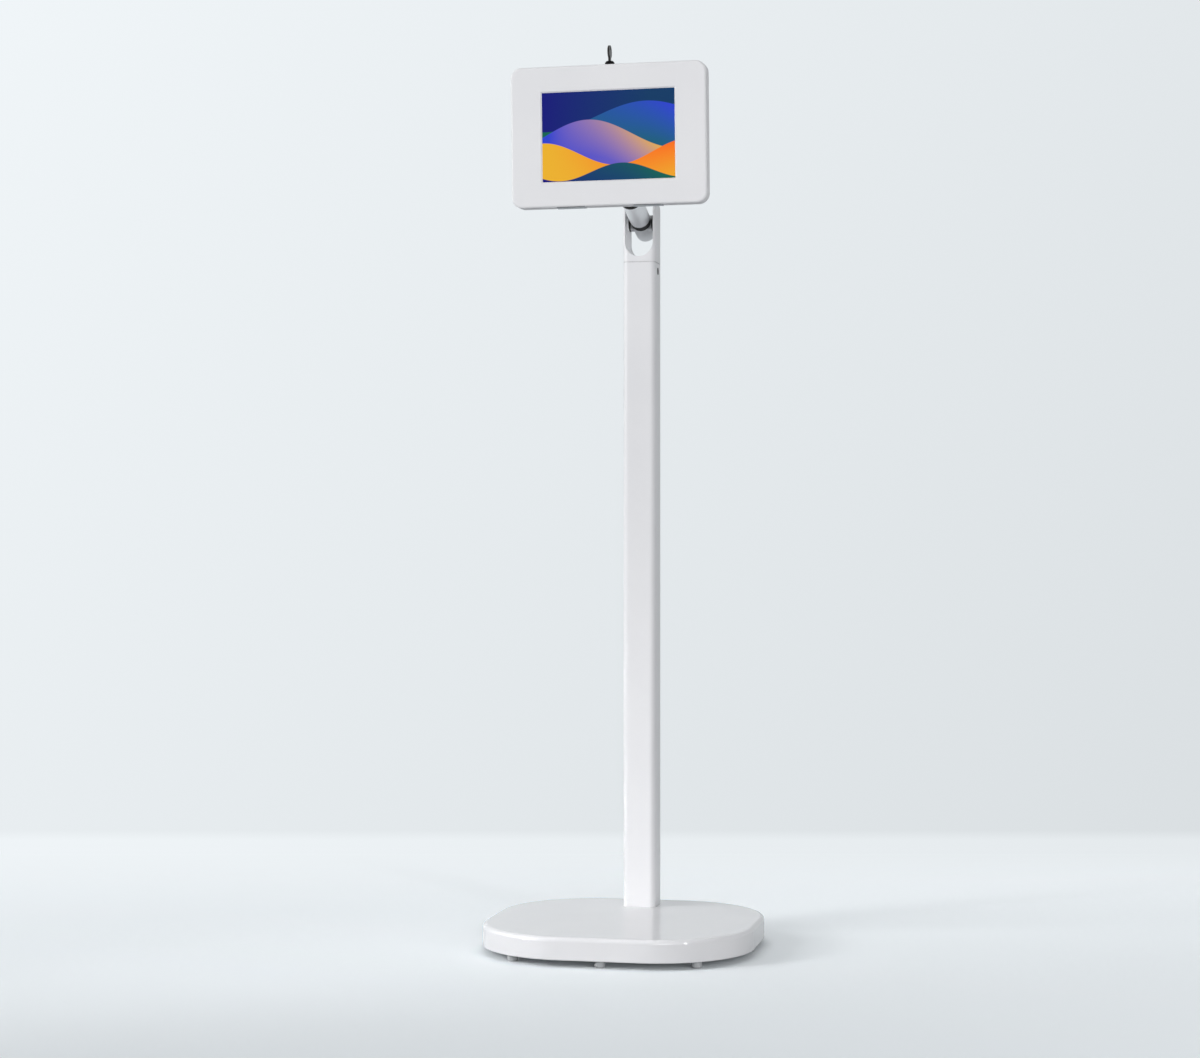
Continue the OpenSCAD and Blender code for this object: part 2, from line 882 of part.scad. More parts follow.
module plate_nuts() {
    color(bare_steel)
        on_head()
            at_plate_screws()
                difference() {
                    translate([0, tray_inside - plate_nut_height, 0])
                        rotate([-90, 0, 0])
                            cylinder(r = plate_nut_radius, h = plate_nut_height, $fn = 6);
                    face_rod(plate_screw_radius + slip_gap, 0, head_depth);
                }
}

// Notches that let the hinge barrels into the lower walls
module hinge_notches() {
    at_hinges()
        translate([-hinge_length / 2 - hinge_room, -hinge_notch, 0])
            cube([hinge_length + 2 * hinge_room, 2 * hinge_notch, sheet + hinge_room]);
}

// The rear shell: back, four walls and an inner lip that enters the front cover
module rear_tray() {
    color(white_paint)
        on_head()
            difference() {
                union() {
                    face_slab(head_width, head_height, head_corner, tray_start, head_depth,
                        low_round / 2, head_edge);
                    face_prism(lip_start, tray_start + eps)
                        rounded_rect(lip_width, lip_height, lip_corner);
                }
                face_prism(tray_start + tray_web, tray_inside)
                    rounded_rect(head_width - 2 * sheet, head_height - 2 * sheet, head_corner - sheet);
                face_prism(0, tray_start + tray_web + eps)
                    rounded_rect(lip_width - 2 * lip_thickness, lip_height - 2 * lip_thickness,
                        lip_corner - lip_thickness);
                at_plate_screws()
                    face_rod(plate_screw_radius + slip_gap, 0, 2 * head_depth);
                translate([0, lock_y, 0])
                    cylinder(r = lock_radius + slip_gap, h = head_height);
                hinge_notches();
            }
}

// The cradle: a moulded frame between the tray's back and the tablet
module tablet_cradle() {
    hole_x = tablet_width / 4;
    hole_z = tablet_height / 4;
    color(black_plastic)
        on_head()
            difference() {
                face_prism(cradle_pocket, tray_inside)
                    rounded_rect(tablet_width + 2 * cradle_border, tablet_height + 2 * cradle_border,
                        tablet_corner + cradle_border);
                face_prism(cradle_pocket - eps, tablet_back)
                    rounded_rect(tablet_width + 2 * seat_gap, tablet_height + 2 * seat_gap, tablet_corner);
                for (sx = [-1, 1], sz = [-1, 1])
                    translate([sx * hole_x, 0, sz * hole_z])
                        face_prism(0, head_depth)
                            rounded_rect(cradle_hole.x, cradle_hole.y, tablet_edge);
            }
}

module tablet_body() {
    color(dark_steel)
        on_head()
            face_slab(tablet_width, tablet_height, tablet_corner, glass_y + glass_thickness, tablet_back,
                low_round, tablet_edge);
}

module tablet_glass() {
    color(screen_black)
        on_head()
            face_prism(glass_y, glass_y + glass_thickness)
                rounded_rect(tablet_width - 2 * glass_inset, tablet_height - 2 * glass_inset,
                    tablet_corner - glass_inset);
}

// The lock's threaded barrel with its bevelled collar
module lock_body() {
    color(dark_steel)
        on_head()
            translate([0, lock_y, 0])
                difference() {
                    union() {
                        translate([0, 0, lock_low])
                            cylinder(r = lock_radius, h = top_z - lock_low);
                        translate([0, 0, top_z])
                            cylinder(r = collar_radius, h = collar_height - collar_bevel);
                        translate([0, 0, top_z + collar_height - collar_bevel])
                            cylinder(r1 = collar_radius, r2 = collar_radius * collar_taper, h = collar_bevel);
                    }
                    cylinder(r = plug_radius + turn_gap, h = head_height);
                }
}

module lock_nut() {
    color(bare_steel)
        on_head()
            translate([0, lock_y, top_z - sheet - lock_nut_height])
                difference() {
                    cylinder(r = lock_nut_radius, h = lock_nut_height, $fn = 6);
                    translate([0, 0, -eps])
                        cylinder(r = lock_radius + slip_gap, h = lock_nut_height + 2 * eps);
                }
}

// Hinge leaves of one side: direction 1 lies under the tray, -1 under the front cover
module hinge_leaf(direction) {
    difference() {
        union() {
            translate([-hinge_length / 2, direction > 0 ? leaf_start : -leaf_end, 0])
                translate([0, 0, -top_z - hinge_z - leaf_thickness])
                    cube([hinge_length, leaf_end - leaf_start, leaf_thickness]);
            translate([-hinge_length / 2, direction > 0 ? 0 : -leaf_start - eps, 0])
                translate([0, 0, -top_z - hinge_z - leaf_thickness])
                    cube([hinge_length, leaf_start + eps, leaf_thickness]);
            cross_rod(hinge_radius, hinge_length / 2);
        }
        cross_rod(hinge_pin_radius + (direction > 0 ? slip_gap : turn_gap), hinge_length);
        if (direction > 0)
            translate([-hinge_mid_half - panel_gap, -leaf_start, -leaf_start])
                cube([2 * (hinge_mid_half + panel_gap), 2 * leaf_start, 2 * leaf_start]);
        else
            for (s = [-1, 1])
                translate([s * (hinge_mid_half + hinge_length) - hinge_length, -leaf_start, -leaf_start])
                    cube([2 * hinge_length, 2 * leaf_start, 2 * leaf_start]);
    }
}

module hinge_tray_leaves() {
    color(satin_metal)
        on_head()
            at_hinges()
                hinge_leaf(1);
}

module hinge_cover_leaves() {
    color(satin_metal)
        on_head()
            at_hinges()
                hinge_leaf(-1);
}

module hinge_pins() {
    color(bare_steel)
        on_head()
            at_hinges()
                cross_rod(hinge_pin_radius, hinge_length / 2);
}

// Section of the window's opening from front to back, with a bevel that opens to the front
function window_profile(half) = [
    [-eps, -half - window_bevel - eps],
    [-eps, half + window_bevel + eps],
    [window_bevel, half],
    [sheet + eps, half],
    [sheet + eps, -half],
    [window_bevel, -half]
];

// The window through the front cover: where its upright and its level section meet
module window_cut() {
    reach = window_width + window_height;
    translate([0, 0, -window_drop])
        intersection() {
            translate([-reach / 2, 0, 0])
                rotate([90, 0, 90])
                    linear_extrude(reach)
                        polygon(window_profile(window_height / 2));
            translate([0, 0, -reach / 2])
                linear_extrude(reach)
                    polygon([for (p = window_profile(window_width / 2)) [p.y, p.x]]);
        }
}

module front_cover() {
    color(white_paint)
        on_head()
            difference() {
                face_slab(head_width, head_height, head_corner, 0, cover_depth, head_edge, low_round / 2);
                face_slab(head_width - 2 * sheet, head_height - 2 * sheet, head_corner - sheet,
                    sheet, cover_depth + sheet, head_edge - sheet / 2, low_round / 2);
                window_cut();
                hinge_notches();
            }
}

// Rubber seal round the window, between the front cover and the glass
module cover_gasket() {
    color(black_plastic)
        on_head()
            translate([0, 0, -window_drop])
                face_prism(sheet, sheet + gasket_thickness)
                    difference() {
                        square([window_width + 2 * gasket_border, window_height + 2 * gasket_border], center = true);
                        square([window_width + gasket_border, window_height + gasket_border], center = true);
                    }
}

// The strike: a plate on the front cover with a window that the cam turns into
module lock_strike() {
    window_low = cam_low - strike_room;
    window_tall = cam_thickness + 2 * strike_room;
    color(bare_steel)
        on_head()
            difference() {
                union() {
                    translate([strike_x, sheet, strike_low])
                        cube([strike_thickness, strike_back - sheet, strike_top - strike_low]);
                    translate([strike_x, sheet, strike_low])
                        cube([strike_foot, strike_thickness, strike_top - strike_low]);
                }
                translate([strike_x - eps, strike_window[0], window_low])
                    cube([strike_thickness + 2 * eps, strike_window[1] - strike_window[0], window_tall]);
            }
}

module lock_plug() {
    color(satin_metal)
        on_head()
            translate([0, lock_y, 0])
                difference() {
                    translate([0, 0, plug_low])
                        cylinder(r = plug_radius, h = top_z + collar_height - low_round - plug_low);
                    translate([-keyway.x / 2, -keyway.y / 2, top_z - key_insert - washer_gap])
                        cube([keyway.x, keyway.y, head_height]);
                    translate([0, 0, plug_low - eps])
                        cylinder(r = cam_neck + slip_gap, h = cam_thickness + 2 * eps);
                }
}

// The cam: it points to the front when open and turns into the strike
module lock_cam() {
    color(bare_steel)
        on_head()
            translate([0, lock_y, cam_low])
                difference() {
                    linear_extrude(cam_thickness)
                        union() {
                            circle(plug_radius + seat_gap);
                            translate([-cam_half, -cam_length])
                                square([2 * cam_half, cam_length]);
                        }
                    translate([0, 0, -eps])
                        cylinder(r = cam_neck + slip_gap, h = cam_thickness + 2 * eps);
                }
}

module cam_screw() {
    color(dark_steel)
        on_head()
            translate([0, lock_y, cam_low - cam_screw_height])
                rising_screw(cam_neck, 2 * cam_thickness, cam_screw_head, cam_screw_height, cam_neck * socket_share);
}

// The key: a thin blade in the plug and a bow seen edge-on from the front
module key() {
    bow_z = top_z + collar_height + key_height - bow_width / 2;
    color(black_plastic)
        on_head()
            translate([0, lock_y, 0]) {
                translate([-key_blade.x / 2, -key_blade.y / 2, top_z - key_insert])
                    cube([key_blade.x, key_blade.y, bow_z - top_z + key_insert]);
                translate([-bow_thickness / 2, -neck_depth / 2, top_z + collar_height + neck_gap])
                    cube([bow_thickness, neck_depth, bow_z - top_z - collar_height - neck_gap]);
                translate([0, 0, bow_z])
                    difference() {
                        cross_rod(bow_width / 2, bow_thickness / 2);
                        translate([0, 0, bow_width / 4])
                            cross_rod(bow_hole, bow_thickness);
                    }
            }
}

base_cover();
ballast_plate();
feet();
cover_screws();
column_flange();
column_bolts();
column_tube();
head_yoke();
head_screws();
tilt_axle();
axle_caps();
friction_washers();
tilt_knuckle();
rear_ring();
arm_barrel();
front_ring();
arm_neck();
arm_screws();
arm_hub();
swivel_washer();
swivel_plate();
swivel_nut();
plate_screws();
plate_nuts();
rear_tray();
tablet_cradle();
tablet_body();
tablet_glass();
lock_body();
lock_nut();
hinge_tray_leaves();
hinge_pins();
front_cover();
cover_gasket();
hinge_cover_leaves();
lock_strike();
lock_plug();
lock_cam();
cam_screw();
key();
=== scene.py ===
"""Looks of a tablet floor stand: finishes for its solids, the stage and the camera."""

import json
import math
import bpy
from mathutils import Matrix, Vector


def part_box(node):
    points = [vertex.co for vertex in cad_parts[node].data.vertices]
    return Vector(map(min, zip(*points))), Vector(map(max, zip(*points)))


bl_info = {
    "name": "Tablet floor stand",
    "version": (1, 0, 0),
    "blender": (4, 5, 0),
    "location": "3D View > Sidebar > Floor stand",
    "description": "Finishes, stage and camera for a tablet floor stand",
    "category": "Object",
}

from collections import namedtuple

import bmesh
import bpy
from bpy.props import FloatProperty, FloatVectorProperty, PointerProperty
from bpy.types import Operator, Panel, PropertyGroup
from mathutils import Vector

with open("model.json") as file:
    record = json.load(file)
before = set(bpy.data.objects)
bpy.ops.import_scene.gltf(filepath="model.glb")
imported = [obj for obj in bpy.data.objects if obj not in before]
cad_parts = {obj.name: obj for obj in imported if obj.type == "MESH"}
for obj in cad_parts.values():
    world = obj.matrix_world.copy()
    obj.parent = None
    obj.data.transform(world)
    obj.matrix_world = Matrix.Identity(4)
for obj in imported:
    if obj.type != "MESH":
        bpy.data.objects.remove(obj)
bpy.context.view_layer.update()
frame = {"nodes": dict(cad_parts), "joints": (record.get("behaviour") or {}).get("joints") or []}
JOINTS = {joint["name"]: joint for joint in frame["joints"]}
MM = 0.001

# The photograph's frame and the camera that fits the stand's edges in it
FRAME_WIDTH = 1200
FOCAL_PIXELS = 2426.15
SENSOR_WIDTH = 36.0
CAMERA_PLACE = Vector((0.6496, -3.1889, 0.5536))
CAMERA_AIM = Vector((-0.2097, 0.9778, 0.0019))

# The enclosure's lean and roll, from the joints that it turns on
ACROSS = Vector(JOINTS["cover_swing"]["axis"]).normalized()
INWARD = -Vector(JOINTS["head_turn"]["axis"]).normalized()
HEAD_LEAN = math.atan2(INWARD.z, INWARD.y)
HEAD_ROLL = math.atan2(ACROSS.z, ACROSS.x)

# The turn that lays a pattern's length along the arm, which slopes up by 17.25 degrees
ALONG_ARM = (math.radians(17.25 - 90), 0.0, 0.0)
# How much longer than wide the lines of a turned or rolled metal are
DRAWN_OUT = 25.0

# The lit field of the screen, which ends just behind the window's edges
SCREEN_HALF_WIDTH = 89.6 * MM
SCREEN_HALF_HEIGHT = 59.6 * MM

# One wave of the screen's picture, measured in half widths and half heights of the lit field: the
# height of its crest, how far the crest swings, its pace and start in radians, the colours on its
# two sides, and the depth below the crest at which the left colour takes over
Wave = namedtuple("Wave", "level swing pace start left right depth")
WAVES = (
    Wave(0.42, 0.30, 2.1, 0.4, "screen_green", "screen_blue", 0.9),
    Wave(0.02, 0.34, 2.4, 2.3, "screen_blue", "screen_gold", 0.8),
    Wave(-0.38, 0.26, 2.9, 4.4, "screen_gold", "screen_orange", 0.7),
    Wave(-0.78, 0.18, 3.4, 0.9, "screen_deep", "screen_green", 0.8),
)

# The backdrop: its reach to each side and to the front, the wall's height and the cove's faces
FLOOR_REACH = 7.0
WALL_HEIGHT = 6.0
COVE_STEPS = 16

# The wall's pale wash, painted light: its change to the right and upward, and its share at the
# wall's foot
WASH_RIGHT, WASH_UP, WASH_FOOT = -0.264, 0.22, 0.29
# The floor's painted glow of light: its change to the right and away, and its share under the stand
GLOW_RIGHT, GLOW_AWAY, GLOW_MIDDLE = 0.12, 0.23, 0.25
# Where the floor turns into the far floor, behind the stand and all round it, how far that shades
# to each side, and the cove's height
BEHIND_START, BEHIND_END = 0.3, 0.95
AROUND_START, AROUND_END = 1.1, 1.7
FAR_FLOOR_SIDE = 1.0
COVE_SHADE = 15 * MM
# How near the stand has to be to keep the painted glow off the floor, which leaves painted contact
# shade there
CONTACT_SHADE = 22 * MM

# One light: its place, the point that it faces, its width and height, the stage's setting with its
# power, and the angle that it opens to
Lamp = namedtuple("Lamp", "name place target size power spread")
WIDE = math.pi
LAMPS = (
    Lamp("left_softbox", (-2.4, -1.2, 1.45), (0.0, 0.0, 0.6), (1.2, 1.4), "left", WIDE),
    Lamp("front_softbox", (1.0, -2.8, 0.95), (0.0, 0.0, 0.5), (1.0, 0.8), "front", WIDE),
    Lamp("right_strip", (1.9, -1.9, 0.75), (0.1, 0.0, 0.5), (0.12, 1.4), "strip", WIDE),
    Lamp("back_softbox", (-1.2, 2.6, 1.6), (0.0, 0.0, 0.6), (1.2, 1.4), "back", WIDE),
    Lamp("top_softbox", (0.0, -0.5, 3.0), (0.0, 0.0, 0.5), (1.6, 1.6), "top", WIDE),
    Lamp("rim_light", (-2.6, 0.3, 0.75), (0.0, 0.0, 0.5), (0.4, 1.0), "rim", 0.9),
    Lamp("foot_light", (-1.8, -1.5, 0.75), (-0.06, 0.0, 0.08), (0.35, 0.35), "foot", 0.45),
)


def linear(code):
    """Linear colour of an sRGB hex code, with alpha 1."""
    shares = [int(code[i:i + 2], 16) / 255 for i in (1, 3, 5)]
    curve = [s / 12.92 if s <= 0.04045 else ((s + 0.055) / 1.055) ** 2.4 for s in shares]
    return curve + [1.0]


def colour(name, description, code):
    """A colour setting with an sRGB hex default."""
    return FloatVectorProperty(name=name, description=description, subtype="COLOR", size=4,
                               min=0.0, max=1.0, default=linear(code))


def power(name, description, watts):
    """A lamp's power setting."""
    return FloatProperty(name=name, description=description, default=watts, min=0.0, unit="POWER")


class StandFinishes(PropertyGroup):
    """Colours of the stand's finishes."""

    coat: colour("Coat", "White powder coat", "#EDEDEF")
    coat_shade: colour("Coat shade", "Thinner places in the powder coat", "#E7E7EA")
    # Painted shade: the dark colour that narrow seams and holes take in place of the shade that
    # falls in them
    painted_nook_shade: colour("Painted nook shade", "Powder coat in narrow seams and holes", "#1E1E20")
    aluminium: colour("Arm", "Satin aluminium of the arm", "#E3E4E6")
    casting: colour("Casting", "Blasted aluminium castings of the arm", "#D5D6D8")
    zinc: colour("Zinc", "Zinc plating on hidden steel", "#A9ACB0")
    black_steel: colour("Black steel", "Black oxide on screws and the lock", "#1A1A1B")
    nylon: colour("Nylon", "Moulded black rings and washers", "#050506")
    rubber: colour("Seal", "Black rubber seal", "#171718")
    foot: colour("Feet", "Clear grey feet", "#CACCCE")
    tablet: colour("Tablet", "Anodised tablet back", "#8E9196")
    key: colour("Key", "Dark plastic of the key's bow", "#1C1917")
    screen_black: colour("Screen black", "Screen glass with no light behind it", "#08080A")
    screen_sky: colour("Screen sky", "Upper field of the screen's picture", "#0B3A66")
    screen_deep: colour("Screen deep", "Corner field of the screen's picture", "#10127A")
    screen_blue: colour("Screen blue", "Blue wave of the screen's picture", "#2F43D2")
    screen_gold: colour("Screen gold", "Yellow wave of the screen's picture", "#F0B42C")
    screen_orange: colour("Screen orange", "Orange wave of the screen's picture", "#FF6F1C")
    screen_green: colour("Screen green", "Green wave of the screen's picture", "#0E6650")
    screen_glow: FloatProperty(name="Screen glow", description="Strength of the screen's light",
                               default=0.95, min=0.0)


class StandStage(PropertyGroup):
    """Sizes, colours and light of the stage."""

    wall_distance: FloatProperty(name="Wall distance",
                                 description="Distance of the wall behind the base",
                                 default=1.153, min=0.5, unit="LENGTH")
    cove: FloatProperty(name="Cove", description="Radius between the floor and the wall",
                        default=0.03, min=0.01, unit="LENGTH")
    world: FloatProperty(name="Room light", description="Strength of the even light",
                         default=0.18, min=0.0)
    left: power("Left light", "Power of the tall light on the left", 46.5)
    front: power("Front light", "Power of the broad light beside the camera", 18.5)
    strip: power("Right strip", "Power of the thin light on the right", 22.5)
    foot: power("Foot light", "Power of the narrow light on the column's foot", 0.35)
    back: power("Back light", "Power of the soft light behind the wall", 11.0)
    rim: power("Rim light", "Power of the narrow light on the stand's left edges", 0.7)
    top: power("Top light", "Power of the broad light overhead", 8.0)
    room: colour("Room", "Colour of the even light", "#F4F8FB")
    floor: colour("Floor", "Pale floor", "#E6EBEE")
    # Painted shade: the floor bounces this darker grey while it shows the paler floor colour, so
    # the stand's undersides get less light
    floor_bounce: colour("Floor bounce", "Floor as the stand's undersides meet it", "#9C9EA0")
    # Painted light on the far floor and the wall: lighter on the left and upper left, darker to the
    # right and lower right
    floor_left: colour("Far floor left", "Floor near the wall on the left", "#EFF4F7")
    floor_right: colour("Far floor right", "Floor near the wall on the right", "#E5EAED")
    wall_light: colour("Wall light", "Wall on the upper left", "#F2F7FA")
    wall_dark: colour("Wall dark", "Wall on the lower right", "#DADFE2")


def add(tree, kind, inputs=None, **settings):
    """Adds a node with its settings; inputs take values or the sockets that feed them."""
    made = tree.nodes.new(kind)
    for key, value in settings.items():
        setattr(made, key, value)
    for key, value in (inputs or {}).items():
        if isinstance(value, bpy.types.NodeSocket):
            tree.links.new(value, made.inputs[key])
        else:
            made.inputs[key].default_value = value
    return made


def new_material(name):
    """An empty node material and its tree."""
    material = bpy.data.materials.new(name)
    material.use_nodes = True
    material.node_tree.nodes.clear()
    return material, material.node_tree


def finish_nodes(material, *names):
    """Gives CAD nodes one material."""
    for name in names:
        mesh = frame["nodes"][name].data
        mesh.materials.clear()
        mesh.materials.append(material)


def powder_coat(name, finishes, rough, bore=None):
    """Polyester powder, sprayed and baked on steel: an even white with a soft orange-peel ripple.

    Narrow seams get painted shade. A bore, given as its middle and radius, gets painted shade too:
    the wall of a hole along X takes the dark nook colour.
    """
    peel_width, peel_height, peel_strength = 2.2 * MM, 0.02 * MM, 0.12
    # The film's thickness drifts over about a hand's width, and its tone and sheen with it
    cloud_width, sheen_drift = 90 * MM, 0.02
    # Seams narrower than this get painted shade, from the first share of open air to the second
    seam, shut, open_wide = 4 * MM, 0.05, 0.55
    material, tree = new_material(name)
    place = add(tree, "ShaderNodeTexCoord").outputs["Object"]
    clouds = add(tree, "ShaderNodeTexNoise", {
        "Vector": place, "Scale": 1 / cloud_width, "Detail": 3.0}).outputs["Fac"]
    peel = add(tree, "ShaderNodeTexNoise", {
        "Vector": place, "Scale": 1 / peel_width, "Detail": 2.0}).outputs["Fac"]
    tone = add(tree, "ShaderNodeMix", {
        "Factor": clouds, "A": finishes.coat_shade, "B": finishes.coat}, data_type="RGBA")
    nook = add(tree, "ShaderNodeAmbientOcclusion", {"Distance": seam}, samples=8)
    lit = add(tree, "ShaderNodeMapRange", {
        "Value": nook.outputs["AO"], "From Min": shut, "From Max": open_wide})
    # Painted shade: where little open air reaches, the white turns to the dark nook colour
    tone = add(tree, "ShaderNodeMix", {
        "Factor": lit.outputs["Result"], "A": finishes.painted_nook_shade, "B": tone.outputs["Result"]},
        data_type="RGBA")
    if bore:
        centre, radius = bore
        across = add(tree, "ShaderNodeVectorMath", {0: place, 1: (0.0, 1.0, 1.0)},
                     operation="MULTIPLY")
        away = add(tree, "ShaderNodeVectorMath", {
            0: across.outputs[0], 1: (0.0, centre.y, centre.z)}, operation="DISTANCE")
        # Painted shade: everything within the bore's radius of its line takes the dark nook colour
        bore_shade_mask = add(tree, "ShaderNodeMath", {0: away.outputs["Value"], 1: radius},
                   operation="LESS_THAN")
        tone = add(tree, "ShaderNodeMix", {
            "Factor": bore_shade_mask.outputs[0], "A": tone.outputs["Result"], "B": finishes.painted_nook_shade},
            data_type="RGBA")
    sheen = add(tree, "ShaderNodeMapRange", {
        "Value": clouds, "To Min": rough - sheen_drift, "To Max": rough + sheen_drift})
    bump = add(tree, "ShaderNodeBump", {
        "Height": peel, "Strength": peel_strength, "Distance": peel_height})
    shader = add(tree, "ShaderNodeBsdfPrincipled", {
        "Base Color": tone.outputs["Result"], "Roughness": sheen.outputs["Result"], "IOR": 1.5,
        "Normal": bump.outputs["Normal"]})
    add(tree, "ShaderNodeOutputMaterial", {"Surface": shader.outputs["BSDF"]})
    return material


def metal_finish(name, base, rough, grain, along=(0.0, 0.0, 0.0), stretch=1.0):
    """Bare or plated metal: bright, with the grit or the drawn-out lines that its making leaves."""
    valley_shade, sheen_drift = 0.82, 0.05
    grain_height, grain_strength = 0.02 * MM, 0.08
    material, tree = new_material(name)
    place = add(tree, "ShaderNodeTexCoord").outputs["Object"]
    laid = add(tree, "ShaderNodeMapping", {
        "Vector": place, "Rotation": along,
        "Scale": (1 / grain, 1 / grain, 1 / (stretch * grain))})
    lines = add(tree, "ShaderNodeTexNoise", {
        "Vector": laid.outputs["Vector"], "Scale": 1.0, "Detail": 3.0}).outputs["Fac"]
    valley = [valley_shade * share for share in base[:3]] + [1.0]
    tone = add(tree, "ShaderNodeMix", {"Factor": lines, "A": valley, "B": base}, data_type="RGBA")
    sheen = add(tree, "ShaderNodeMapRange", {
        "Value": lines, "To Min": rough - sheen_drift, "To Max": rough + sheen_drift})
    bump = add(tree, "ShaderNodeBump", {
        "Height": lines, "Strength": grain_strength, "Distance": grain_height})
    shader = add(tree, "ShaderNodeBsdfPrincipled", {
        "Base Color": tone.outputs["Result"], "Roughness": sheen.outputs["Result"],
        "Metallic": 1.0, "Normal": bump.outputs["Normal"]})
    add(tree, "ShaderNodeOutputMaterial", {"Surface": shader.outputs["BSDF"]})
    return material


def moulded(name, base, rough, grit, ior, clear=0.0):
    """Moulded plastic or rubber: one colour with the faint pebble of its mould."""
    crest_gain, crest_lift, sheen_drift = 1.25, 0.002, 0.06
    pebble_height, pebble_strength = 0.04 * MM, 0.15
    material, tree = new_material(name)
    place = add(tree, "ShaderNodeTexCoord").outputs["Object"]
    pebble = add(tree, "ShaderNodeTexNoise", {
        "Vector": place, "Scale": 1 / grit, "Detail": 2.0}).outputs["Fac"]
    crest = [min(1.0, crest_gain * share + crest_lift) for share in base[:3]] + [1.0]
    tone = add(tree, "ShaderNodeMix", {"Factor": pebble, "A": base, "B": crest}, data_type="RGBA")
    sheen = add(tree, "ShaderNodeMapRange", {
        "Value": pebble, "To Min": rough - sheen_drift, "To Max": rough + sheen_drift})
    bump = add(tree, "ShaderNodeBump", {
        "Height": pebble, "Strength": pebble_strength, "Distance": pebble_height})
    shader = add(tree, "ShaderNodeBsdfPrincipled", {
        "Base Color": tone.outputs["Result"], "Roughness": sheen.outputs["Result"], "IOR": ior,
        "Transmission Weight": clear, "Normal": bump.outputs["Normal"]})
    add(tree, "ShaderNodeOutputMaterial", {"Surface": shader.outputs["BSDF"]})
    return material


class STAND_OT_shell(Operator):
    """Coats the base, column, yoke and enclosure in white powder"""

    bl_idname = "floor_stand.shell"
    bl_label = "White shell"

    def execute(self, context):
        finishes = context.scene.floor_stand_finishes
        # Gloss powder on the base: a hard white that mirrors the column and the wall behind it
        gloss = powder_coat("gloss_white_powder_coat", finishes, rough=0.07)
        finish_nodes(gloss, "base_cover")
        # Satin powder on the yoke: the same white with a broad, soft sheen along its round edges
        satin = powder_coat("satin_white_powder_coat", finishes, rough=0.42)
        finish_nodes(satin, "head_yoke", "axle_caps")
        # The same on the column, with painted shade on the walls of its side holes round their
        # screws
        screw_clearance = 0.4 * MM
        low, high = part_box("head_screws")
        bore = (low + high) / 2, (high.z - low.z) / 2 + screw_clearance
        bored = powder_coat("satin_white_powder_coat_bored", finishes, rough=0.42, bore=bore)
        finish_nodes(bored, "column_tube")
        # Matt powder on the enclosure: an even white with hardly a highlight
        matt = powder_coat("matt_white_powder_coat", finishes, rough=0.58)
        finish_nodes(matt, "rear_tray", "front_cover")
        return {"FINISHED"}


class STAND_OT_arm(Operator):
    """Finishes the arm in satin aluminium and its rings in black nylon"""

    bl_idname = "floor_stand.arm"
    bl_label = "Tilting arm"

    def execute(self, context):
        finishes = context.scene.floor_stand_finishes
        # Turned and satin-finished bar: a soft bright streak along the arm. Its lines, about
        # 0.1 mm apart, are drawn coarser so that they show
        satin = metal_finish("satin_turned_aluminium", list(finishes.aluminium), rough=0.48,
                             grain=0.6 * MM, along=ALONG_ARM, stretch=DRAWN_OUT)
        finish_nodes(satin, "arm_barrel", "arm_neck")
        # Blasted castings: a dull, even grey. Their grit, about 0.2 mm, is drawn coarser
        cast = metal_finish("blasted_cast_aluminium", list(finishes.casting), rough=0.55,
                            grain=0.9 * MM)
        finish_nodes(cast, "tilt_knuckle", "arm_hub")
        # Moulded nylon: a deep black without shine. Its pebble, about 0.3 mm, is drawn coarser
        nylon = moulded("black_moulded_nylon", list(finishes.nylon), rough=0.72, grit=0.8 * MM,
                        ior=1.53)
        finish_nodes(nylon, "rear_ring", "front_ring", "friction_washers", "swivel_washer",
                     "tablet_cradle")
        return {"FINISHED"}


class STAND_OT_fixings(Operator):
    """Finishes plates, screws, nuts, hinges and the lock's steel"""

    bl_idname = "floor_stand.fixings"
    bl_label = "Plates and fixings"

    def execute(self, context):
        finishes = context.scene.floor_stand_finishes
        # Zinc on rolled steel: a cool grey with a clear shine and faint rolling lines, which are
        # about 0.2 mm apart and drawn coarser
        zinc = metal_finish("zinc_plated_rolled_steel", list(finishes.zinc), rough=0.34,
                            grain=1.2 * MM, stretch=DRAWN_OUT)
        finish_nodes(zinc, "ballast_plate", "column_flange", "tilt_axle", "swivel_plate",
                     "plate_nuts", "lock_nut", "hinge_tray_leaves", "hinge_cover_leaves",
                     "hinge_pins", "lock_strike", "lock_cam", "lock_plug")
        # Black oxide on steel: near black with a dull metal glint. Its grit, about 0.05 mm, is
        # drawn coarser
        black = metal_finish("black_oxide_steel", list(finishes.black_steel), rough=0.55,
                             grain=0.8 * MM)
        finish_nodes(black, "cover_screws", "column_bolts", "head_screws", "arm_screws",
                     "swivel_nut", "plate_screws", "cam_screw", "lock_body")
        return {"FINISHED"}


class STAND_OT_soft_trim(Operator):
    """Finishes the feet, the window's seal and the key"""

    bl_idname = "floor_stand.soft_trim"
    bl_label = "Feet, seal and key"

    def execute(self, context):
        finishes = context.scene.floor_stand_finishes
        # Clear urethane bumpers: glassy grey that lets some of the floor through
        clear = moulded("clear_moulded_urethane", list(finishes.foot), rough=0.15, grit=2.5 * MM,
                        ior=1.5, clear=0.3)
        finish_nodes(clear, "feet")
        # Extruded rubber: dull black. Its skin's grain, about 0.1 mm, is drawn coarser
        seal = moulded("black_extruded_rubber", list(finishes.rubber), rough=0.7, grit=0.7 * MM,
                       ior=1.52)
        finish_nodes(seal, "cover_gasket")
        # Moulded ABS: dark with a low sheen. Its pebble, about 0.3 mm, is drawn coarser
        bow = moulded("dark_moulded_abs", list(finishes.key), rough=0.4, grit=0.9 * MM, ior=1.54)
        finish_nodes(bow, "key")
        return {"FINISHED"}


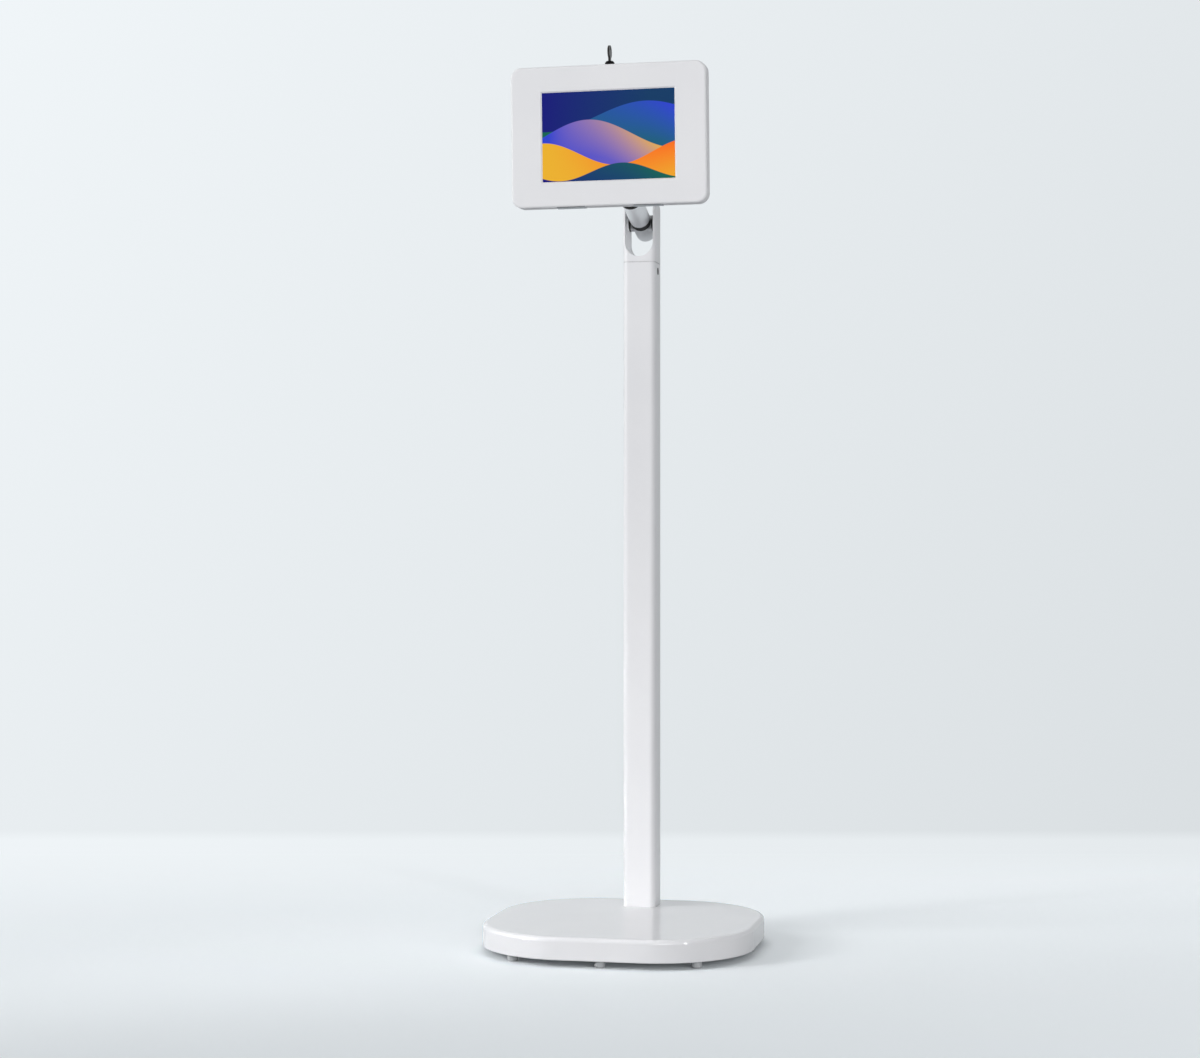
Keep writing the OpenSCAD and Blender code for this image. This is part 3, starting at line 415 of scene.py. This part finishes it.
class STAND_OT_tablet(Operator):
    """Finishes the tablet and lights its screen with a plain picture of waves"""

    bl_idname = "floor_stand.tablet"
    bl_label = "Tablet"

    def execute(self, context):
        finishes = context.scene.floor_stand_finishes
        # Blasted and anodised shell: a fine satin grey. Its grit, about 0.05 mm, is drawn coarser
        shell = metal_finish("anodised_blasted_aluminium", list(finishes.tablet), rough=0.42,
                             grain=0.4 * MM)
        finish_nodes(shell, "tablet_body")
        finish_nodes(lit_screen(finishes), "tablet_glass")
        return {"FINISHED"}


def lit_screen(finishes):
    """Polished cover glass on a lit display: vivid colour under a clear gloss, black at the rim."""
    sky_left, sky_right = -1.0, 0.6
    turn_left, turn_right = -0.9, 0.9
    crest_blur, deepest_fade = 0.012, 0.75
    low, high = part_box("tablet_glass")
    middle = (low + high) / 2
    material, tree = new_material("lit_display_glass")
    place = add(tree, "ShaderNodeTexCoord").outputs["Object"]
    flat = add(tree, "ShaderNodeMapping", {
        "Vector": place, "Location": middle, "Rotation": (HEAD_LEAN, -HEAD_ROLL, 0.0),
        "Scale": (SCREEN_HALF_WIDTH, 1.0, SCREEN_HALF_HEIGHT)}, vector_type="TEXTURE")
    axes = add(tree, "ShaderNodeSeparateXYZ", {"Vector": flat.outputs["Vector"]})
    u, v = axes.outputs["X"], axes.outputs["Z"]
    across_sky = add(tree, "ShaderNodeMapRange", {
        "Value": u, "From Min": sky_left, "From Max": sky_right})
    picture = add(tree, "ShaderNodeMix", {
        "Factor": across_sky.outputs["Result"], "A": finishes.screen_deep,
        "B": finishes.screen_sky}, data_type="RGBA").outputs["Result"]
    for wave in WAVES:
        left, right = getattr(finishes, wave.left), getattr(finishes, wave.right)
        phase = add(tree, "ShaderNodeMath", {0: u, 1: wave.pace, 2: wave.start},
                    operation="MULTIPLY_ADD")
        ripple = add(tree, "ShaderNodeMath", {0: phase.outputs[0]}, operation="SINE")
        crest = add(tree, "ShaderNodeMath", {0: ripple.outputs[0], 1: wave.swing, 2: wave.level},
                    operation="MULTIPLY_ADD")
        below = add(tree, "ShaderNodeMath", {0: crest.outputs[0], 1: v},
                    operation="SUBTRACT").outputs[0]
        inside = add(tree, "ShaderNodeMapRange", {
            "Value": below, "From Min": 0.0, "From Max": crest_blur})
        turn = add(tree, "ShaderNodeMapRange", {
            "Value": u, "From Min": turn_left, "From Max": turn_right})
        body = add(tree, "ShaderNodeMix", {
            "Factor": turn.outputs["Result"], "A": left, "B": right}, data_type="RGBA")
        fade = add(tree, "ShaderNodeMapRange", {
            "Value": below, "From Min": 0.0, "From Max": wave.depth, "To Min": 0.0,
            "To Max": deepest_fade})
        body = add(tree, "ShaderNodeMix", {
            "Factor": fade.outputs["Result"], "A": body.outputs["Result"], "B": left},
            data_type="RGBA")
        picture = add(tree, "ShaderNodeMix", {
            "Factor": inside.outputs["Result"], "A": picture, "B": body.outputs["Result"]},
            data_type="RGBA").outputs["Result"]
    beside = add(tree, "ShaderNodeMath", {0: u}, operation="ABSOLUTE")
    above = add(tree, "ShaderNodeMath", {0: v}, operation="ABSOLUTE")
    edge = add(tree, "ShaderNodeMath", {0: beside.outputs[0], 1: above.outputs[0]},
               operation="MAXIMUM")
    lit = add(tree, "ShaderNodeMath", {0: edge.outputs[0], 1: 1.0}, operation="LESS_THAN")
    shown = add(tree, "ShaderNodeMix", {
        "Factor": lit.outputs[0], "A": (0.0, 0.0, 0.0, 1.0), "B": picture}, data_type="RGBA")
    shader = add(tree, "ShaderNodeBsdfPrincipled", {
        "Base Color": finishes.screen_black, "Roughness": 0.06, "IOR": 1.5,
        "Emission Color": shown.outputs["Result"], "Emission Strength": finishes.screen_glow})
    add(tree, "ShaderNodeOutputMaterial", {"Surface": shader.outputs["BSDF"]})
    return material


def new_piece(name, shape):
    """An object with the mesh that shape fills in."""
    mesh = bpy.data.meshes.new(name)
    build = bmesh.new()
    shape(build)
    bmesh.ops.recalc_face_normals(build, faces=build.faces)
    build.to_mesh(mesh)
    build.free()
    piece = bpy.data.objects.new(name, mesh)
    bpy.context.scene.collection.objects.link(piece)
    return piece


def area_light(lamp, watts):
    """A soft rectangular light, aimed at its target and narrowed by its spread."""
    light = bpy.data.lights.new(lamp.name, "AREA")
    light.shape = "RECTANGLE"
    light.size, light.size_y = lamp.size
    light.energy = watts
    light.spread = lamp.spread
    holder = bpy.data.objects.new(lamp.name, light)
    holder.location = lamp.place
    holder.rotation_mode = "QUATERNION"
    aim = Vector(lamp.target) - Vector(lamp.place)
    holder.rotation_quaternion = aim.to_track_quat("-Z", "Y")
    bpy.context.scene.collection.objects.link(holder)


def studio_paint(stage):
    """Matt paint: the wall shows a pale wash of painted light, and the floor takes the stand's
    shadow.

    From behind, and for the light that comes from there, the paint is clear.
    """
    material, tree = new_material("matt_studio_paint")
    place = add(tree, "ShaderNodeTexCoord").outputs["Object"]
    axes = add(tree, "ShaderNodeSeparateXYZ", {"Vector": place})
    right, away, up = axes.outputs["X"], axes.outputs["Y"], axes.outputs["Z"]
    path = add(tree, "ShaderNodeLightPath")
    seen = add(tree, "ShaderNodeMath", {
        0: path.outputs["Is Camera Ray"], 1: path.outputs["Is Glossy Ray"]}, operation="ADD")
    seen = add(tree, "ShaderNodeMath", {
        0: seen.outputs[0], 1: path.outputs["Is Transmission Ray"]},
        operation="ADD", use_clamp=True).outputs[0]

    # Painted light: the wall and the far floor glow with a wash that is lighter on the left and
    # upper left, darker to the right and lower down
    along = add(tree, "ShaderNodeMath", {0: right, 1: WASH_RIGHT, 2: WASH_FOOT},
                operation="MULTIPLY_ADD")
    climb = add(tree, "ShaderNodeMath", {0: up, 1: WASH_UP, 2: along.outputs[0]},
                operation="MULTIPLY_ADD", use_clamp=True)
    wash = add(tree, "ShaderNodeMix", {
        "Factor": climb.outputs[0], "A": stage.wall_dark, "B": stage.wall_light},
        data_type="RGBA")
    side = add(tree, "ShaderNodeMapRange", {
        "Value": right, "From Min": -FAR_FLOOR_SIDE, "From Max": FAR_FLOOR_SIDE})
    far_floor = add(tree, "ShaderNodeMix", {
        "Factor": side.outputs["Result"], "A": stage.floor_left, "B": stage.floor_right},
        data_type="RGBA")
    upright = add(tree, "ShaderNodeMapRange", {
        "Value": up, "From Min": 0.0, "From Max": COVE_SHADE})
    shown = add(tree, "ShaderNodeMix", {
        "Factor": upright.outputs["Result"], "A": far_floor.outputs["Result"],
        "B": wash.outputs["Result"]}, data_type="RGBA")
    far_light = add(tree, "ShaderNodeEmission", {
        "Color": shown.outputs["Result"], "Strength": 1.0})

    # The near floor is lit by the lamps, and has a faint painted glow of light, which fades to
    # painted shade close to the stand
    # Painted shade: bounced light takes the darker floor colour, and the seen floor takes the paler
    # one
    paint = add(tree, "ShaderNodeMix", {
        "Factor": seen, "A": stage.floor_bounce, "B": stage.floor}, data_type="RGBA")
    matt = add(tree, "ShaderNodeBsdfDiffuse", {
        "Color": paint.outputs["Result"], "Roughness": 0.0})
    rising = add(tree, "ShaderNodeMath", {0: away, 1: GLOW_AWAY, 2: GLOW_MIDDLE},
                 operation="MULTIPLY_ADD")
    glow = add(tree, "ShaderNodeMath", {0: right, 1: GLOW_RIGHT, 2: rising.outputs[0]},
               operation="MULTIPLY_ADD", use_clamp=True)
    open_air = add(tree, "ShaderNodeAmbientOcclusion", {"Distance": CONTACT_SHADE}, samples=16)
    glow = add(tree, "ShaderNodeMath", {0: glow.outputs[0], 1: open_air.outputs["AO"]},
               operation="MULTIPLY")
    glow = add(tree, "ShaderNodeMath", {0: glow.outputs[0], 1: seen}, operation="MULTIPLY")
    near_light = add(tree, "ShaderNodeEmission", {
        "Color": stage.floor_left, "Strength": glow.outputs[0]})
    near = add(tree, "ShaderNodeAddShader", {0: matt.outputs[0], 1: near_light.outputs[0]})

    behind = add(tree, "ShaderNodeMapRange", {
        "Value": away, "From Min": BEHIND_START, "From Max": BEHIND_END})
    level = add(tree, "ShaderNodeVectorMath", {0: place, 1: (1.0, 1.0, 0.0)},
                operation="MULTIPLY")
    reach = add(tree, "ShaderNodeVectorMath", {0: level.outputs[0]}, operation="LENGTH")
    around = add(tree, "ShaderNodeMapRange", {
        "Value": reach.outputs["Value"], "From Min": AROUND_START, "From Max": AROUND_END})
    far = add(tree, "ShaderNodeMath", {
        0: behind.outputs["Result"], 1: around.outputs["Result"]}, operation="MAXIMUM")
    far = add(tree, "ShaderNodeMath", {0: seen, 1: far.outputs[0]}, operation="MULTIPLY")
    front = add(tree, "ShaderNodeMixShader", {
        0: far.outputs[0], 1: near.outputs[0], 2: far_light.outputs[0]})
    back = add(tree, "ShaderNodeNewGeometry").outputs["Backfacing"]
    clear = add(tree, "ShaderNodeMath", {0: back, 1: path.outputs["Is Shadow Ray"]},
                operation="MAXIMUM")
    sided = add(tree, "ShaderNodeMixShader", {
        0: clear.outputs[0], 1: front.outputs[0],
        2: add(tree, "ShaderNodeBsdfTransparent").outputs[0]})
    add(tree, "ShaderNodeOutputMaterial", {"Surface": sided.outputs[0]})
    return material


class STAND_OT_stage(Operator):
    """Makes the floor, the wall, the lights and the camera"""

    bl_idname = "floor_stand.stage"
    bl_label = "Stage and camera"

    def execute(self, context):
        scene = context.scene
        stage = scene.floor_stand_stage
        wall, cove = stage.wall_distance, stage.cove

        def sweep(build):
            """The floor, the cove and the wall in one strip."""
            path = [(-FLOOR_REACH, 0.0)]
            for step in range(COVE_STEPS + 1):
                angle = math.pi / 2 * step / COVE_STEPS
                path.append((wall - cove + cove * math.sin(angle), cove - cove * math.cos(angle)))
            path.append((wall, WALL_HEIGHT))
            rows = [[build.verts.new((side * FLOOR_REACH, y, z)) for side in (-1, 1)]
                    for y, z in path]
            for low, high in zip(rows, rows[1:]):
                face = build.faces.new((low[0], low[1], high[1], high[0]))
                face.smooth = True

        backdrop = new_piece("backdrop", sweep)
        if backdrop.data.polygons[0].normal.z < 0:
            backdrop.data.flip_normals()
        backdrop.rotation_euler.z = math.atan2(-CAMERA_AIM.x, CAMERA_AIM.y)
        backdrop.data.materials.append(studio_paint(stage))

        scene.world = bpy.data.worlds.new("studio")
        scene.world.use_nodes = True
        ground = scene.world.node_tree.nodes["Background"]
        ground.inputs["Color"].default_value = stage.room
        ground.inputs["Strength"].default_value = stage.world
        for lamp in LAMPS:
            area_light(lamp, getattr(stage, lamp.power))

        camera = bpy.data.cameras.new("photo_camera")
        camera.sensor_fit = "HORIZONTAL"
        camera.sensor_width = SENSOR_WIDTH
        camera.lens = FOCAL_PIXELS / FRAME_WIDTH * SENSOR_WIDTH
        holder = bpy.data.objects.new("photo_camera", camera)
        holder.location = CAMERA_PLACE
        holder.rotation_mode = "QUATERNION"
        holder.rotation_quaternion = CAMERA_AIM.to_track_quat("-Z", "Y")
        scene.collection.objects.link(holder)
        scene.camera = holder
        scene.view_settings.view_transform = "Standard"
        return {"FINISHED"}


STEPS = (STAND_OT_shell, STAND_OT_arm, STAND_OT_fixings, STAND_OT_soft_trim, STAND_OT_tablet,
         STAND_OT_stage)


class STAND_PT_panel(Panel):
    """Lists the stand's steps and settings"""

    bl_idname = "STAND_PT_panel"
    bl_label = "Floor stand"
    bl_space_type = "VIEW_3D"
    bl_region_type = "UI"
    bl_category = "Floor stand"

    def draw(self, context):
        for step in STEPS:
            self.layout.operator(step.bl_idname)
        for group in (context.scene.floor_stand_finishes, context.scene.floor_stand_stage):
            for name in group.bl_rna.properties.keys():
                if name not in ("rna_type", "name"):
                    self.layout.prop(group, name)


CLASSES = (StandFinishes, StandStage, *STEPS, STAND_PT_panel)


def register():
    for cls in CLASSES:
        bpy.utils.register_class(cls)
    bpy.types.Scene.floor_stand_finishes = PointerProperty(type=StandFinishes)
    bpy.types.Scene.floor_stand_stage = PointerProperty(type=StandStage)


def unregister():
    del bpy.types.Scene.floor_stand_stage
    del bpy.types.Scene.floor_stand_finishes
    for cls in reversed(CLASSES):
        bpy.utils.unregister_class(cls)


def main():
    register()
    bpy.ops.floor_stand.shell()
    bpy.ops.floor_stand.arm()
    bpy.ops.floor_stand.fixings()
    bpy.ops.floor_stand.soft_trim()
    bpy.ops.floor_stand.tablet()
    bpy.ops.floor_stand.stage()


if __name__ == "__main__":
    main()
